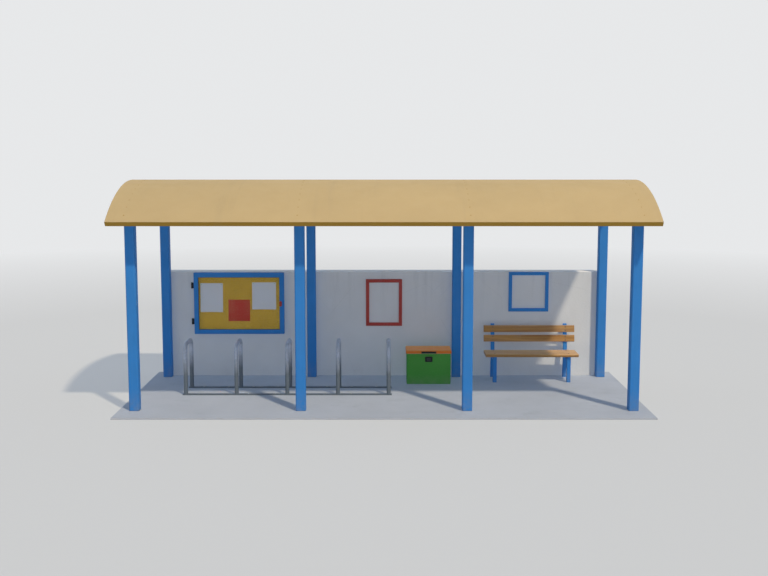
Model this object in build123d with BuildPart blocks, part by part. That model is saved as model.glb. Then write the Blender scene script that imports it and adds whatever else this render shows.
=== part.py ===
from build123d import *
from math import asin, cos, degrees, radians, sin, sqrt, tan
import os

# Bike shelter, in millimetres. The origin is the centre of the underside of the base slab, midway
# between the two rows of posts. X runs along the shelter, +Y points to the back wall, +Z is up.

# Fits
seat_gap = 0.3
notch_clearance = 1.0
moving_gap = 5.0
pin_clearance = 0.1

# Posts and their grid
bay_width = 2000.0
bay_count = 3
post_side = 120.0
post_corner_bevel = 10.0
post_foot_bevel = 6.0

# Curved roof sheet
roof_end_overhang = 200.0
eave_overhang = 400.0
roof_chord = 2800.0
roof_rise = 455.0
roof_thickness = 60.0
crown_height = 2745.0

# Roof frame under the sheet
eave_beam_width = 80.0
eave_beam_height = 90.0
rib_width = 60.0
rib_crown_depth = 140.0
rib_tip_depth = 50.0
rib_setback = 150.0
rib_seat_depth = 6.0
purlin_count = 3
purlin_pitch_angle = 13.0
purlin_width = 60.0
purlin_depth = 45.0

# Base slab and back wall
slab_thickness = 20.0
slab_behind_wall = 20.0
slab_arris = 4.0
wall_height = 1460.0
wall_thickness = 240.0
wall_arris = 6.0

# Glazed notice case on the wall
case_width = 1240.0
case_height = 848.0
case_bottom = 600.0
case_depth = 50.0
case_rim = 20.0
case_back = 6.0
board_thickness = 12.0
board_clearance = 2.0
door_bar = 60.0
door_thickness = 25.0
door_bevel = 4.0
glass_thickness = 4.0
glass_rebate = 8.0
glass_clearance = 1.0
case_hinge_spacing = 500.0
case_knuckle_height = 41.0
case_knuckle_gap = 1.0
case_knuckle_radius = 13.0
case_hinge_offset = 27.0
case_pin_radius = 5.0
case_leaf_thickness = 8.0
knob_inset = 45.0
knob_height = 75.0
knob_width = 38.0
knob_head = 16.0
knob_neck = 18.0
knob_neck_ratio = 0.55
knob_bevel = 5.0

# Notices pinned on the board: centre across and up from the board's centre, width, height
sheet_thickness = 1.0
left_notice = (-383.0, 76.0, 310.0, 400.0)
right_notice = (342.0, 100.0, 330.0, 375.0)
red_notice = (-5.0, -102.0, 300.0, 300.0)

# Two empty poster frames on the wall
red_frame_width = 500.0
red_frame_height = 650.0
red_frame_bottom = 705.0
blue_frame_width = 550.0
blue_frame_height = 550.0
blue_frame_bottom = 906.0
frame_bar = 45.0
frame_depth = 30.0
frame_bevel = 5.0

# Bike stands: bent tubes on two floor rails, their group placed as a share of a bay from the middle
hoop_count = 5
hoop_pitch = 650.0
hoop_group_ratio = -0.62
hoop_diameter = 52.0
hoop_sides = 10
hoop_height = 676.0
hoop_wall_space = 796.0
hoop_leg_spacing = 430.0
hoop_bend_radius = 85.0
rail_width = 54.0
rail_thickness = 15.0
rail_overhang = 40.0

# Bench
bench_length = 1250.0
bench_frame_spacing = 1000.0
bench_frame_width = 50.0
bench_wall_space = 500.0
seat_height = 390.0
seat_thickness = 40.0
seat_depth = 350.0
seat_nose_radius = 18.0
leg_depth = 50.0
leg_inset = 35.0
rear_foot_setback = 45.0
back_lean = 10.0
upright_depth = 42.0
upright_top = 744.0
slat_width = 94.0
slat_thickness = 24.0
slat_gap = 36.0
slat_bottom = 500.0
slat_bevel = 4.0

# Storage chest, placed as a share of a bay from the middle
chest_place_ratio = 0.3
chest_width = 590.0
chest_depth = 370.0
chest_wall_space = 575.0
chest_height = 412.0
chest_wall = 10.0
chest_corner_radius = 16.0
lid_height = 40.0
lid_overhang = 10.0
lid_wall = 10.0
lid_bevel = 7.0
handle_length = 200.0
handle_height = 26.0
handle_reach = 26.0
handle_bar = 12.0
latch_width = 100.0
latch_height = 72.0
latch_thickness = 12.0
latch_drop = 36.0
latch_corner_radius = 8.0
chest_hinge_spacing = 360.0
chest_hinge_width = 60.0
chest_knuckle_radius = 6.5
chest_pin_radius = 2.5
chest_leaf_thickness = 2.5
chest_leaf_height = 28.0

# Fittings stand in the middle of a bay or at their share of it
case_centre_x = -bay_width
bench_centre_x = bay_width
blue_frame_centre_x = bench_centre_x
red_frame_centre_x = 0.0
hoop_centre_x = hoop_group_ratio * bay_width
chest_centre_x = chest_place_ratio * bay_width

# Roof arc, worked out from its chord and rise
roof_length = bay_count * bay_width + 2 * roof_end_overhang
roof_radius = (roof_chord**2 / 4 + roof_rise**2) / (2 * roof_rise)
roof_inner_radius = roof_radius - roof_thickness
roof_half_angle = degrees(asin(roof_chord / 2 / roof_radius))
roof_centre_z = slab_thickness + crown_height - roof_radius

# The ribs' lower edge is a flatter arc through the tips and the crown
rib_top_radius = roof_inner_radius - seat_gap
rib_reach = roof_chord / 2 - rib_setback
rib_half_angle = asin(rib_reach / rib_top_radius)
rib_tip_y = (rib_top_radius - rib_tip_depth) * sin(rib_half_angle)
rib_tip_z = roof_centre_z + (rib_top_radius - rib_tip_depth) * cos(rib_half_angle)
rib_crown_z = roof_centre_z + rib_top_radius - rib_crown_depth
rib_sag = rib_crown_z - rib_tip_z
rib_lower_radius = (rib_tip_y**2 + rib_sag**2) / (2 * rib_sag)

# Heights of the frame follow from where the eave beams meet the ribs
row_y = roof_chord / 2 - eave_overhang
beam_inner_y = row_y - eave_beam_width / 2
rib_underside_at_beam = rib_crown_z - rib_lower_radius + sqrt(rib_lower_radius**2 - beam_inner_y**2)
beam_top_z = rib_underside_at_beam + rib_seat_depth
post_top_z = beam_top_z - eave_beam_height
post_lines = [(number - bay_count / 2) * bay_width for number in range(bay_count + 1)]
beam_length = bay_count * bay_width + post_side

# The wall stands just behind the rear posts, and the fittings at their distances in front of it
wall_front_y = row_y + post_side / 2 + seat_gap
wall_rear_y = wall_front_y + wall_thickness
slab_rear_y = wall_rear_y + slab_behind_wall
slab_front_y = -roof_chord / 2
hoop_rear_y = wall_front_y - hoop_wall_space
hoop_front_y = hoop_rear_y - hoop_leg_spacing
bench_front_y = wall_front_y - bench_wall_space
chest_front_y = wall_front_y - chest_wall_space

# Planes of the notice case, from the wall outwards
case_middle_z = slab_thickness + case_bottom + case_height / 2
case_front_y = wall_front_y - case_depth
board_front_y = wall_front_y - case_back - board_thickness
door_back_y = case_front_y - moving_gap
door_front_y = door_back_y - door_thickness
case_left_x = case_centre_x - case_width / 2
case_axis_x = case_left_x - case_hinge_offset
case_axis_y = case_front_y - moving_gap / 2

# The chest lid turns about a line along the rear edge of its rim
chest_top_z = slab_thickness + chest_height
chest_rear_y = chest_front_y + chest_depth
chest_middle_y = chest_front_y + chest_depth / 2
lid_bottom_z = chest_top_z + moving_gap
chest_axis_y = chest_rear_y + chest_knuckle_radius + seat_gap
chest_axis_z = chest_top_z + moving_gap / 2

os.makedirs("parts", exist_ok=True)


def keep(piece, name):
    piece.part.label = name
    export_step(piece.part, f"parts/{name}.step")


def purlin_spots():
    """Places of the purlins round the roof arc, each turned square to the sheet."""
    first = 90 - purlin_pitch_angle * (purlin_count - 1) / 2
    middle = sqrt(rib_top_radius**2 - (purlin_width / 2) ** 2) - purlin_depth / 2
    return PolarLocations(middle, purlin_count, first, purlin_pitch_angle * (purlin_count - 1), endpoint=True)


# Base slab under the whole shelter
with BuildPart() as base_slab:
    with BuildSketch(Plane.XY):
        with Locations((0, (slab_front_y + slab_rear_y) / 2)):
            Rectangle(roof_length, slab_rear_y - slab_front_y)
    extrude(amount=slab_thickness)
    chamfer(base_slab.faces().sort_by(Axis.Z)[-1].edges(), slab_arris)
keep(base_slab, "base_slab")

# Square posts with bevelled corners, in a front and a rear row
for row_name, post_y in (("front", -row_y), ("rear", row_y)):
    for number, post_x in enumerate(post_lines, 1):
        with BuildPart() as post:
            with BuildSketch(Plane.XY.offset(slab_thickness)) as post_section:
                with Locations((post_x, post_y)):
                    Rectangle(post_side, post_side)
                chamfer(post_section.vertices(), post_corner_bevel)
            extrude(amount=post_top_z - slab_thickness)
            chamfer(post.faces().sort_by(Axis.Z)[0].edges(), post_foot_bevel)
        keep(post, f"{row_name}_post_{number}")

# Eave beams on the post heads
for row_name, beam_y in (("front", -row_y), ("rear", row_y)):
    with BuildPart() as eave_beam:
        with BuildSketch(Plane.YZ.offset(-beam_length / 2)) as beam_section:
            with Locations((beam_y, (post_top_z + beam_top_z) / 2)):
                Rectangle(eave_beam_width, eave_beam_height)
            chamfer(beam_section.vertices(), post_corner_bevel)
        extrude(amount=beam_length)
    keep(eave_beam, f"{row_name}_eave_beam")

# Crescent ribs across each pair of posts, seated on the beams and notched for the purlins
for number, rib_x in enumerate(post_lines, 1):
    with BuildPart() as roof_rib:
        with BuildSketch(Plane.YZ.offset(rib_x - rib_width / 2)):
            with BuildLine():
                top_arc = CenterArc(
                    (0, roof_centre_z), rib_top_radius, 90 - degrees(rib_half_angle), 2 * degrees(rib_half_angle)
                )
                low_arc = ThreePointArc((rib_tip_y, rib_tip_z), (0, rib_crown_z), (-rib_tip_y, rib_tip_z))
                Line(top_arc @ 0, low_arc @ 0)
                Line(top_arc @ 1, low_arc @ 1)
            make_face()
            with Locations((-row_y, beam_top_z), (row_y, beam_top_z)):
                Rectangle(
                    eave_beam_width + 2 * notch_clearance,
                    eave_beam_height,
                    align=(Align.CENTER, Align.MAX),
                    mode=Mode.SUBTRACT,
                )
            with Locations((0, roof_centre_z)):
                with purlin_spots():
                    Rectangle(
                        purlin_depth + 2 * seat_gap, purlin_width + 2 * notch_clearance, mode=Mode.SUBTRACT
                    )
        extrude(amount=rib_width)
    keep(roof_rib, f"roof_rib_{number}")

# Purlins let into the top of the ribs
with BuildPart() as roof_purlins:
    with BuildSketch(Plane.YZ.offset(-beam_length / 2)):
        with Locations((0, roof_centre_z)):
            with purlin_spots():
                Rectangle(purlin_depth, purlin_width)
    extrude(amount=beam_length)
keep(roof_purlins, "roof_purlins")

# Roof sheet: one arc with radial edges
with BuildPart() as roof_sheet:
    with BuildSketch(Plane.YZ.offset(-roof_length / 2)):
        with BuildLine():
            outer = CenterArc((0, roof_centre_z), roof_radius, 90 - roof_half_angle, 2 * roof_half_angle)
            inner = CenterArc((0, roof_centre_z), roof_inner_radius, 90 - roof_half_angle, 2 * roof_half_angle)
            Line(outer @ 0, inner @ 0)
            Line(outer @ 1, inner @ 1)
        make_face()
    extrude(amount=roof_length)
keep(roof_sheet, "roof_sheet")

# Low back wall behind the rear posts
with BuildPart() as back_wall:
    with BuildSketch(Plane.XY.offset(slab_thickness)):
        with Locations((0, (wall_front_y + wall_rear_y) / 2)):
            Rectangle(beam_length, wall_thickness)
    extrude(amount=wall_height)
    chamfer(back_wall.faces().sort_by(Axis.Z)[-1].edges(), wall_arris)
keep(back_wall, "back_wall")

# Notice case: a shallow tray open to the front
with BuildPart() as notice_case:
    with BuildSketch(Plane.XZ.offset(-wall_front_y)):
        with Locations((case_centre_x, case_middle_z)):
            Rectangle(case_width, case_height)
    extrude(amount=case_depth)
    with BuildSketch(Plane.XZ.offset(-case_front_y)):
        with Locations((case_centre_x, case_middle_z)):
            Rectangle(case_width - 2 * case_rim, case_height - 2 * case_rim)
    extrude(amount=case_back - case_depth, mode=Mode.SUBTRACT)
keep(notice_case, "notice_case")

# Pin board on the back of the tray
with BuildPart() as pin_board:
    with BuildSketch(Plane.XZ.offset(case_back - wall_front_y)):
        with Locations((case_centre_x, case_middle_z)):
            Rectangle(
                case_width - 2 * (case_rim + board_clearance),
                case_height - 2 * (case_rim + board_clearance),
            )
    extrude(amount=board_thickness)
keep(pin_board, "pin_board")


def pinned_sheets(notices):
    """Thin sheets flat on the pin board."""
    with BuildPart() as sheets:
        with BuildSketch(Plane.XZ.offset(-board_front_y)):
            for across, up, width, height in notices:
                with Locations((case_centre_x + across, case_middle_z + up)):
                    Rectangle(width, height)
        extrude(amount=sheet_thickness)
    return sheets


keep(pinned_sheets([left_notice, right_notice]), "pale_notices")
keep(pinned_sheets([red_notice]), "red_notice")

# Door frame of the case, rebated at the back for the glass
door_opening_width = case_width - 2 * door_bar
door_opening_height = case_height - 2 * door_bar
with BuildPart() as door_frame:
    with BuildSketch(Plane.XZ.offset(-door_back_y)):
        with Locations((case_centre_x, case_middle_z)):
            Rectangle(case_width, case_height)
            Rectangle(door_opening_width, door_opening_height, mode=Mode.SUBTRACT)
    extrude(amount=door_thickness)
    chamfer(door_frame.faces().sort_by(Axis.Y)[0].edges(), door_bevel)
    with BuildSketch(Plane.XZ.offset(-door_back_y)):
        with Locations((case_centre_x, case_middle_z)):
            Rectangle(door_opening_width + 2 * glass_rebate, door_opening_height + 2 * glass_rebate)
    extrude(amount=glass_thickness + seat_gap, mode=Mode.SUBTRACT)
keep(door_frame, "case_door_frame")

# Glass in the rebate
with BuildPart() as door_glass:
    with BuildSketch(Plane.XZ.offset(-door_back_y)):
        with Locations((case_centre_x, case_middle_z)):
            Rectangle(
                door_opening_width + 2 * (glass_rebate - glass_clearance),
                door_opening_height + 2 * (glass_rebate - glass_clearance),
            )
    extrude(amount=glass_thickness)
keep(door_glass, "case_door_glass")

# Oval pull knob on the closing bar of the door
knob_x = case_centre_x + case_width / 2 - knob_inset
with BuildPart() as door_knob:
    with BuildSketch(Plane.XZ.offset(-door_front_y)):
        with Locations((knob_x, case_middle_z)):
            SlotOverall(knob_height * knob_neck_ratio, knob_width * knob_neck_ratio, rotation=90)
    extrude(amount=knob_neck)
    with BuildSketch(Plane.XZ.offset(knob_neck - door_front_y)):
        with Locations((knob_x, case_middle_z)):
            SlotOverall(knob_height, knob_width, rotation=90)
    extrude(amount=knob_head)
    chamfer(door_knob.faces().sort_by(Axis.Y)[0].edges(), knob_bevel)
keep(door_knob, "case_door_knob")

# Lift-off hinges of the case: the fixed half has the pin, the moving half drops over it
hinge_heights = [case_middle_z - case_hinge_spacing / 2, case_middle_z + case_hinge_spacing / 2]
web_length = case_left_x - case_axis_x
with BuildPart() as case_hinge_pins:
    for hinge_z in hinge_heights:
        with BuildSketch(Plane.XY.offset(hinge_z - case_knuckle_gap / 2)):
            with Locations((case_axis_x, case_axis_y)):
                Circle(case_knuckle_radius)
            with Locations((case_axis_x, case_front_y)):
                Rectangle(web_length, case_leaf_thickness, align=(Align.MIN, Align.MIN))
        extrude(amount=-case_knuckle_height)
        with BuildSketch(Plane.XY.offset(hinge_z - case_knuckle_gap / 2)):
            with Locations((case_axis_x, case_axis_y)):
                Circle(case_pin_radius)
        extrude(amount=case_knuckle_height * 0.6)
keep(case_hinge_pins, "case_hinge_pins")

with BuildPart() as case_hinge_sockets:
    for hinge_z in hinge_heights:
        with BuildSketch(Plane.XY.offset(hinge_z + case_knuckle_gap / 2)):
            with Locations((case_axis_x, case_axis_y)):
                Circle(case_knuckle_radius)
            with Locations((case_axis_x, door_back_y)):
                Rectangle(web_length, case_leaf_thickness, align=(Align.MIN, Align.MAX))
        extrude(amount=case_knuckle_height)
        with BuildSketch(Plane.XY.offset(hinge_z + case_knuckle_gap / 2)):
            with Locations((case_axis_x, case_axis_y)):
                Circle(case_pin_radius + pin_clearance)
        extrude(amount=case_knuckle_height * 0.7, mode=Mode.SUBTRACT)
keep(case_hinge_sockets, "case_hinge_sockets")


def poster_frame(centre_x, bottom, width, height):
    """Open rectangular frame with bevelled front edges, flat on the wall."""
    with BuildPart() as frame:
        with BuildSketch(Plane.XZ.offset(-wall_front_y)):
            with Locations((centre_x, slab_thickness + bottom + height / 2)):
                Rectangle(width, height)
                Rectangle(width - 2 * frame_bar, height - 2 * frame_bar, mode=Mode.SUBTRACT)
        extrude(amount=frame_depth)
        chamfer(frame.faces().sort_by(Axis.Y)[0].edges(), frame_bevel)
    return frame


red_frame = poster_frame(red_frame_centre_x, red_frame_bottom, red_frame_width, red_frame_height)
keep(red_frame, "red_poster_frame")
blue_frame = poster_frame(blue_frame_centre_x, blue_frame_bottom, blue_frame_width, blue_frame_height)
keep(blue_frame, "blue_poster_frame")

# Bent-tube bike hoops, standing on the two floor rails
rail_top_z = slab_thickness + rail_thickness
hoop_crown_z = slab_thickness + hoop_height - hoop_diameter / 2
hoop_lines = [hoop_centre_x + (number - (hoop_count - 1) / 2) * hoop_pitch for number in range(hoop_count)]
for number, hoop_x in enumerate(hoop_lines, 1):
    with BuildPart() as bike_hoop:
        with BuildLine(Plane.YZ.offset(hoop_x)):
            FilletPolyline(
                (hoop_front_y, rail_top_z),
                (hoop_front_y, hoop_crown_z),
                (hoop_rear_y, hoop_crown_z),
                (hoop_rear_y, rail_top_z),
                radius=hoop_bend_radius,
            )
        with BuildSketch(Plane.XY.offset(rail_top_z)):
            with Locations((hoop_x, hoop_front_y)):
                RegularPolygon(hoop_diameter / 2, hoop_sides, major_radius=False)
        sweep()
    keep(bike_hoop, f"bike_hoop_{number}")

rail_length = (hoop_count - 1) * hoop_pitch + 2 * rail_overhang
with BuildPart() as floor_rails:
    with BuildSketch(Plane.XY.offset(slab_thickness)):
        with Locations((hoop_centre_x, hoop_front_y), (hoop_centre_x, hoop_rear_y)):
            Rectangle(rail_length, rail_width)
    extrude(amount=rail_thickness)
keep(floor_rails, "floor_rails")

# Side frames of the bench: front leg, seat bearer and one leaning rear leg and back
seat_under_z = slab_thickness + seat_height - seat_thickness
bearer_bottom_z = seat_under_z - leg_depth
leg_front_y = bench_front_y + leg_inset
back_y = bench_front_y + seat_depth + notch_clearance
lean = tan(radians(back_lean))
upright_top_y = back_y + (slab_thickness + upright_top - seat_under_z) * lean
frame_outline = [
    (leg_front_y, slab_thickness),
    (leg_front_y + leg_depth, slab_thickness),
    (leg_front_y + leg_depth, bearer_bottom_z),
    (back_y, bearer_bottom_z),
    (back_y + rear_foot_setback, slab_thickness),
    (back_y + rear_foot_setback + upright_depth, slab_thickness),
    (back_y + upright_depth, bearer_bottom_z),
    (back_y + upright_depth, seat_under_z),
    (upright_top_y + upright_depth, slab_thickness + upright_top),
    (upright_top_y, slab_thickness + upright_top),
    (back_y, seat_under_z),
    (leg_front_y, seat_under_z),
]
for side_name, side in (("left", -1), ("right", 1)):
    frame_x = bench_centre_x + side * bench_frame_spacing / 2
    with BuildPart() as bench_frame:
        with BuildSketch(Plane.YZ.offset(frame_x - bench_frame_width / 2)):
            with BuildLine():
                Polyline(*frame_outline, close=True)
            make_face()
        extrude(amount=bench_frame_width)
    keep(bench_frame, f"bench_{side_name}_frame")

# Seat board with a rounded front edge
with BuildPart() as bench_seat:
    with BuildSketch(Plane.YZ.offset(bench_centre_x - bench_length / 2)) as seat_profile:
        with Locations((bench_front_y, seat_under_z)):
            Rectangle(seat_depth, seat_thickness, align=(Align.MIN, Align.MIN))
        fillet(seat_profile.vertices().group_by(Axis.X)[0], seat_nose_radius)
    extrude(amount=bench_length)
keep(bench_seat, "bench_seat_board")

# Two back slats on the leaning uprights
lean_direction = Vector(0, sin(radians(back_lean)), cos(radians(back_lean)))
lean_normal = Vector(0, -cos(radians(back_lean)), sin(radians(back_lean)))
slat_middles = [slat_bottom + slat_width / 2 + step * (slat_width + slat_gap) for step in range(2)]
with BuildPart() as bench_slats:
    for slat_middle in slat_middles:
        slat_z = slab_thickness + slat_middle
        slat_y = back_y + (slat_z - seat_under_z) * lean
        foot = Vector(bench_centre_x, slat_y, slat_z) + lean_normal * seat_gap
        with BuildSketch(Plane(origin=foot, x_dir=(1, 0, 0), z_dir=lean_normal)):
            Rectangle(bench_length, slat_width)
        extrude(amount=slat_thickness)
    chamfer(bench_slats.edges().filter_by(Axis.X), slat_bevel)
keep(bench_slats, "bench_back_slats")

# Storage chest, open at the top
with BuildPart() as chest_body:
    with BuildSketch(Plane.XY.offset(slab_thickness)):
        with Locations((chest_centre_x, chest_middle_y)):
            RectangleRounded(chest_width, chest_depth, chest_corner_radius)
    extrude(amount=chest_height)
    with BuildSketch(Plane.XY.offset(chest_top_z)):
        with Locations((chest_centre_x, chest_middle_y)):
            RectangleRounded(
                chest_width - 2 * chest_wall,
                chest_depth - 2 * chest_wall,
                chest_corner_radius - chest_wall,
            )
    extrude(amount=chest_wall - chest_height, mode=Mode.SUBTRACT)
keep(chest_body, "chest_body")

# Lid: a shallow cover, flush at the hinge side and overhanging elsewhere
lid_front_y = chest_front_y - lid_overhang
lid_middle_y = (lid_front_y + chest_rear_y) / 2
lid_width = chest_width + 2 * lid_overhang
lid_depth = chest_depth + lid_overhang
with BuildPart() as chest_lid:
    with BuildSketch(Plane.XY.offset(lid_bottom_z)):
        with Locations((chest_centre_x, lid_middle_y)):
            RectangleRounded(lid_width, lid_depth, chest_corner_radius)
    extrude(amount=lid_height)
    chamfer(chest_lid.faces().sort_by(Axis.Z)[-1].edges(), lid_bevel)
    with BuildSketch(Plane.XY.offset(lid_bottom_z)):
        with Locations((chest_centre_x, lid_middle_y)):
            RectangleRounded(lid_width - 2 * lid_wall, lid_depth - 2 * lid_wall, chest_corner_radius - lid_wall)
    extrude(amount=lid_height - lid_wall, mode=Mode.SUBTRACT)
keep(chest_lid, "chest_lid")

# Bow handle on the front of the lid
handle_z = lid_bottom_z + lid_height / 2 - notch_clearance
with BuildPart() as chest_handle:
    with BuildSketch(Plane.XY.offset(handle_z - handle_height / 2)):
        with Locations((chest_centre_x, lid_front_y)):
            Rectangle(handle_length, handle_reach, align=(Align.CENTER, Align.MAX))
            Rectangle(
                handle_length - 2 * handle_bar,
                handle_reach - handle_bar,
                align=(Align.CENTER, Align.MAX),
                mode=Mode.SUBTRACT,
            )
    extrude(amount=handle_height)
    outer_edges = chest_handle.edges().filter_by(Axis.Z).group_by(Axis.Y)[0]
    fillet(outer_edges, handle_bar - notch_clearance)
keep(chest_handle, "chest_handle")

# Latch plate on the front of the chest
latch_z = chest_top_z - latch_drop - latch_height / 2
with BuildPart() as chest_latch:
    with BuildSketch(Plane.XZ.offset(-chest_front_y)):
        with Locations((chest_centre_x, latch_z)):
            RectangleRounded(latch_width, latch_height, latch_corner_radius)
    extrude(amount=latch_thickness)
keep(chest_latch, "chest_latch")

# Butt hinges behind the chest: outer knuckles and pin below, middle knuckle above
hinge_lines = [chest_centre_x - chest_hinge_spacing / 2, chest_centre_x + chest_hinge_spacing / 2]
knuckle_width = chest_hinge_width / 3
with BuildPart() as chest_hinge_pins:
    for hinge_x in hinge_lines:
        for start in (hinge_x - chest_hinge_width / 2, hinge_x + knuckle_width / 2):
            with BuildSketch(Plane.YZ.offset(start)):
                with Locations((chest_axis_y, chest_axis_z)):
                    Circle(chest_knuckle_radius)
                with Locations((chest_rear_y, chest_axis_z)):
                    Rectangle(chest_leaf_thickness, chest_leaf_height, align=(Align.MIN, Align.MAX))
            extrude(amount=knuckle_width)
        with BuildSketch(Plane.YZ.offset(hinge_x - knuckle_width / 2)):
            with Locations((chest_axis_y, chest_axis_z)):
                Circle(chest_pin_radius)
        extrude(amount=knuckle_width)
keep(chest_hinge_pins, "chest_hinge_pins")

with BuildPart() as chest_hinge_knuckles:
    for hinge_x in hinge_lines:
        with BuildSketch(Plane.YZ.offset(hinge_x - knuckle_width / 2 + notch_clearance)):
            with Locations((chest_axis_y, chest_axis_z)):
                Circle(chest_knuckle_radius)
            with Locations((chest_rear_y, chest_axis_z)):
                Rectangle(chest_leaf_thickness, chest_leaf_height, align=(Align.MIN, Align.MIN))
            with Locations((chest_axis_y, chest_axis_z)):
                Circle(chest_pin_radius + pin_clearance, mode=Mode.SUBTRACT)
        extrude(amount=knuckle_width - 2 * notch_clearance)
keep(chest_hinge_knuckles, "chest_hinge_knuckles")
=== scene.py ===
from math import asin, cos, pi, radians, sin

import bmesh
import bpy
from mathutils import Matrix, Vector


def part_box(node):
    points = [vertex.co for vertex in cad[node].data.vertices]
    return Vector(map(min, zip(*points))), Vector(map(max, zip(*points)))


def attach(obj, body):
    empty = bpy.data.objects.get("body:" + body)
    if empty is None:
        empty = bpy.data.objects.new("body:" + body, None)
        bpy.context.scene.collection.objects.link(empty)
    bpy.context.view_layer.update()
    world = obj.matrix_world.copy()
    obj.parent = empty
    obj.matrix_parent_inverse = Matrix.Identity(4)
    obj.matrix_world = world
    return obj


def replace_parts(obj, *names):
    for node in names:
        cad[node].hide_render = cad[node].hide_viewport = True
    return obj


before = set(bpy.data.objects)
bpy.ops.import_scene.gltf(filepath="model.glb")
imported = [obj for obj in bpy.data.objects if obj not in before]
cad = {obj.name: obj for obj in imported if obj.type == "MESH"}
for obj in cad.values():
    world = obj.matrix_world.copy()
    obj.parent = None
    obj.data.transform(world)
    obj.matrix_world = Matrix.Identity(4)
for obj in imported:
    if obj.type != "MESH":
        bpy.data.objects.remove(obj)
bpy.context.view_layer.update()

# Looks of the bike shelter. Metres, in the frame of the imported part: X along the shelter, +Y to the
# back wall, +Z up, and the underside of the slab at zero.

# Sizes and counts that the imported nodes' boxes don't give
roof_rise = 0.455
roof_thickness = 0.060
rim_cosine = 0.9
hoop_count = 5
hoop_radius = 0.026
hoop_bend_radius = 0.085
case_rim = 0.020
door_bar = 0.060
frame_bar = 0.045
back_lean = radians(10)
post_count = 4
post_bevel = 0.010
board_thickness = 0.012
sheet_thickness = 0.0006
pin_inset = 0.018
slat_thickness = 0.024
slat_middles = (0.567, 0.697)
catch_half_wide = 0.026
catch_half_tall = 0.021
seal_radius = 0.0024
seal_inset = 0.008

# Where the fixings sit: offsets in metres, or shares of what carries them
rail_bolt_shares = (0.25, 0.75)
cleat_bolt_spread = 0.032
cleat_bolt_drop = 0.030
roof_screw_count = 8
first_screw_degrees = 4.2
screw_step_degrees = 4.1
slat_bolt_offset = 0.024
seat_bolt_shares = (0.20, 0.80)
frame_screw_shares = (0.0, 0.5, 1.0)
latch_screw_across = 0.38
latch_screw_up = 0.33
hairline = 0.0002
weld_gap = 0.001
head_weld_inset = 0.004
mortar_inset = 0.003
mortar_lift = 0.001
gasket_lift = 0.0008
glazing_lift = 0.001
glazing_inset = 0.0015
pin_lift = 0.0015
slat_gap = 0.001

# Facets and shares of the small pieces
crown_foot = 0.88
crown_top = 0.55
crown_sides = 14
washer_sides = 20
bead_sides = 8
edge_steps = 3
rim_steps = 8
rim_swell = 0.07
rim_rise = 0.12
face_drop = 0.40
face_start = 0.72
face_rise = 0.28

# Sheets on the pin board: across and up from the board's middle, width, height, how far they curl
pale_sheets = (
    (-0.383, 0.076, 0.310, 0.400, 0.022),
    (0.342, 0.100, 0.330, 0.375, 0.016),
)
red_sheets = ((-0.005, -0.102, 0.300, 0.300, 0.014),)
curl_from = 0.30
curl_middle = 0.25
curl_power = 2.5
buckle_depth = 0.0006
buckle_across = 9
buckle_up = 4

# The photograph's camera: 50 mm lens, a little over head height, tilted slightly down
camera_lens = 50.0
camera_place = (0.0, -13.594, 3.0407)
camera_tilt = radians(6.961)

# Lamps and backdrop
sun_strength = 2.33
sun_width = radians(2.6)
sun_towards = (0.337, -0.506, 0.796)
sun_tint = (1.06, 0.955, 0.77)
soft_width = radians(90)
soft_tint = (0.79, 0.90, 1.14)
sky_tint = (0.33, 0.62, 0.99)
soft_lamps = (
    ("front_light", 0.41, (0.0, -1.0, 0.12), soft_tint),
    ("back_light", 0.44, (0.0, 1.0, 0.12), soft_tint),
    ("left_light", 0.06, (-1.0, 0.0, 0.12), soft_tint),
    ("right_light", 0.22, (1.0, 0.0, 0.12), soft_tint),
    ("top_light", 0.70, (0.0, 0.0, 1.0), sky_tint),
)
fill_tint = (0.21, 0.25, 0.33, 1.0)
backdrop_grey = (0.80, 0.81, 0.82, 1.0)
floor_grey = (0.52, 0.50, 0.47, 1.0)
floor_roughness = 0.9
floor_lift = 0.30
floor_reach = 45.0
floor_fade = (9.0, 24.0)

# Where the values of a noise mostly lie, and the cosines that tell an edge from a face
noise_span = (0.3, 0.7)
edge_cosines = (0.995, 0.86)


def tint(red, green, blue):
    """Scene-linear colour from the usual 0 to 255 screen values."""
    return tuple((value / 255) ** 2.2 for value in (red, green, blue)) + (1.0,)


paint_blue = tint(38, 117, 184)
paint_red = tint(161, 57, 47)
roof_ochre = tint(189, 161, 115)
# Darker, more saturated ochre for the roof's rim faces: painted shade (the roof screws use it too)
rim_shade_ochre = tint(168, 130, 52)
slab_grey = tint(166, 168, 173)
wall_grey = tint(208, 207, 204)
tube_grey = tint(178, 185, 198)
board_light = tint(178, 132, 70)
board_dark = tint(128, 85, 40)
# Paler tone for the boards' top faces: partly wear, partly painted light from above
board_top_wear_and_light = tint(220, 176, 130)
cork_tan = tint(196, 156, 53)
cork_dark = tint(166, 127, 39)
# Paper colour greyed below white: painted shade for the sheets inside the case
paper_greyed_for_shade = tint(177, 177, 178)
sheet_red = tint(155, 43, 25)
chest_green = tint(61, 136, 47)
lid_orange = tint(217, 111, 30)
near_black = tint(30, 31, 33)
zinc_grey = tint(170, 172, 172)
bare_steel = tint(120, 122, 124)
pale_dust = tint(138, 132, 120)
seal_black = tint(24, 24, 25)
# Dark bluish mortar: real mortar, darkened as painted shade along the post feet
mortar_grey_and_foot_shade = tint(112, 119, 128)


# Node helpers, which all fill one tree: the last that was begun

tree = None


def begin(new):
    """Make this the tree that the helpers fill."""
    global tree
    tree = new


def add_node(kind, inputs=None, **settings):
    """Add a node, write its settings, then fill its inputs: a socket is linked, a value is written."""
    node = tree.nodes.new(kind)
    for key, value in settings.items():
        setattr(node, key, value)
    for key, value in (inputs or {}).items():
        if isinstance(value, bpy.types.NodeSocket):
            tree.links.new(value, node.inputs[key])
        else:
            node.inputs[key].default_value = value
    return node


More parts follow.
